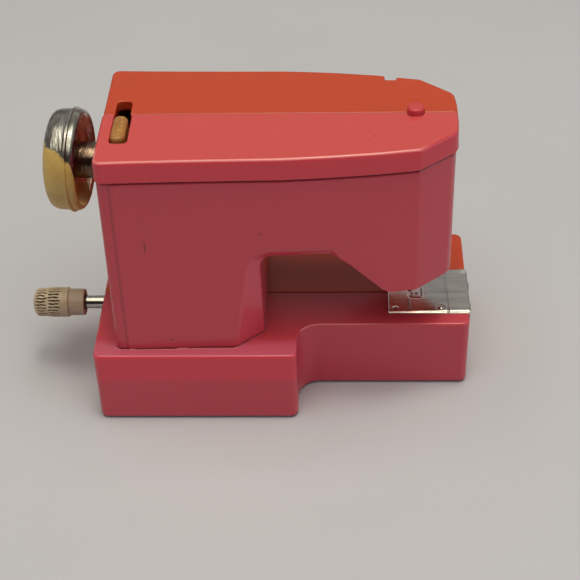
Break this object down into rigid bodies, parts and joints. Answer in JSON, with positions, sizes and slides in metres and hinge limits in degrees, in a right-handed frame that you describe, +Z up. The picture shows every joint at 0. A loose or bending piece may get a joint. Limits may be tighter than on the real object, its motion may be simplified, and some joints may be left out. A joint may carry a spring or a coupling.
{
  "type": "toy sewing machine",
  "caption": "Miniature wind-up toy sewing machine: two-shell plastic casing around a clockwork motor, with handwheel, winding knob, start lever, needle bar and metal needle plate.",
  "frame": {"origin": "on the underside of the base, at the middle of its length, at the edge of the front shell where the two shells meet", "axes": "+X towards the needle end, -Y towards the side with the cut-away in the base, +Z up; every shaft is parallel to X"},
  "size_m": [0.0942, 0.0408, 0.0642],
  "materials": {
    "pink_plastic": "moulded styrene, glossy, lightly scuffed",
    "orange_plastic": "moulded styrene, glossy, lightly scuffed",
    "plated_plastic": "vacuum plated plastic, plating half worn off",
    "amber_plastic": "yellowed moulded plastic",
    "ivory_nylon": "satin nylon",
    "white_nylon": "satin nylon",
    "bright_steel": "turned and polished",
    "spring_steel": "blued, oiled",
    "stamped_tin": "stamped tinplate, fine scratches",
    "brass": "stamped, satin"
  },
  "bodies": {
    "casing": {"front_shell": "pink_plastic", "rear_shell": "orange_plastic", "needle_plate": "stamped_tin", "motor_plate_left": "brass", "motor_plate_right": "brass", "pillar_1": "bright_steel", "pillar_2": "bright_steel", "pillar_3": "bright_steel", "head_bush": "brass", "mainspring": "spring_steel", "shell_screw_1": "bright_steel", "shell_screw_2": "bright_steel", "shell_screw_3": "bright_steel", "shell_screw_4": "bright_steel", "shell_screw_5": "bright_steel"},
    "handwheel_assembly": {"handwheel": "plated_plastic", "arm_shaft": "bright_steel", "arm_pinion": "brass", "governor_drive_gear": "white_nylon", "stop_wheel": "white_nylon", "crank_disc": "white_nylon", "crank_pin": "bright_steel"},
    "great_wheel_assembly": {"great_wheel": "brass", "click_pin": "bright_steel"},
    "click": {"click_pawl": "bright_steel"},
    "winding_assembly": {"winding_arbor": "bright_steel", "winding_knob": "ivory_nylon", "ratchet_wheel": "bright_steel", "spring_collet": "brass"},
    "intermediate_assembly": {"intermediate_arbor": "bright_steel", "intermediate_pinion": "brass", "intermediate_wheel": "brass"},
    "idler_assembly": {"idler_arbor": "bright_steel", "idler_gear": "white_nylon"},
    "governor_assembly": {"governor_arbor": "bright_steel", "governor_pinion": "white_nylon", "governor_fan": "white_nylon"},
    "lever": {"start_stop_lever": "amber_plastic"},
    "needle_assembly": {"needle_bar": "pink_plastic", "needle": "bright_steel", "needle_clamp_screw": "bright_steel"}
  },
  "joints": [
    {"name": "handwheel_spin", "type": "hinge", "parent": "casing", "child": "handwheel_assembly", "pos_m": [-0.019, 0, 0.0523], "axis": [1, 0, 0], "continuous": true},
    {"name": "great_wheel_spin", "type": "hinge", "parent": "casing", "child": "great_wheel_assembly", "pos_m": [-0.0265, 0, 0.0149], "axis": [1, 0, 0], "continuous": true},
    {"name": "intermediate_spin", "type": "hinge", "parent": "casing", "child": "intermediate_assembly", "pos_m": [-0.019, -0.0026, 0.02916], "axis": [1, 0, 0], "continuous": true},
    {"name": "idler_spin", "type": "hinge", "parent": "casing", "child": "idler_assembly", "pos_m": [-0.019, 0.00059, 0.04382], "axis": [1, 0, 0], "continuous": true},
    {"name": "governor_spin", "type": "hinge", "parent": "casing", "child": "governor_assembly", "pos_m": [-0.019, -0.00831, 0.05053], "axis": [1, 0, 0], "continuous": true},
    {"name": "winding_turn", "type": "hinge", "parent": "great_wheel_assembly", "child": "winding_assembly", "pos_m": [-0.026, 0, 0.0149], "axis": [1, 0, 0], "range_deg": [0, 2880]},
    {"name": "click_drop", "type": "hinge", "parent": "great_wheel_assembly", "child": "click", "pos_m": [-0.0252, 0.0069, 0.0169], "axis": [1, 0, 0], "range_deg": [0, 6.5]},
    {"name": "lever_slide", "type": "slide", "parent": "casing", "child": "lever", "axis": [0, 1, 0], "range_m": [0, 0.0061]},
    {"name": "needle_stroke", "type": "slide", "parent": "casing", "child": "needle_assembly", "axis": [0, 0, -1], "range_m": [0, 0.004]}
  ],
  "couplings": [
    {"joint": "idler_spin", "follows": "handwheel_spin", "ratio": -0.41667},
    {"joint": "intermediate_spin", "follows": "handwheel_spin", "ratio": 0.27778},
    {"joint": "great_wheel_spin", "follows": "handwheel_spin", "ratio": -0.072464},
    {"joint": "governor_spin", "follows": "handwheel_spin", "ratio": -3.25}
  ]
}
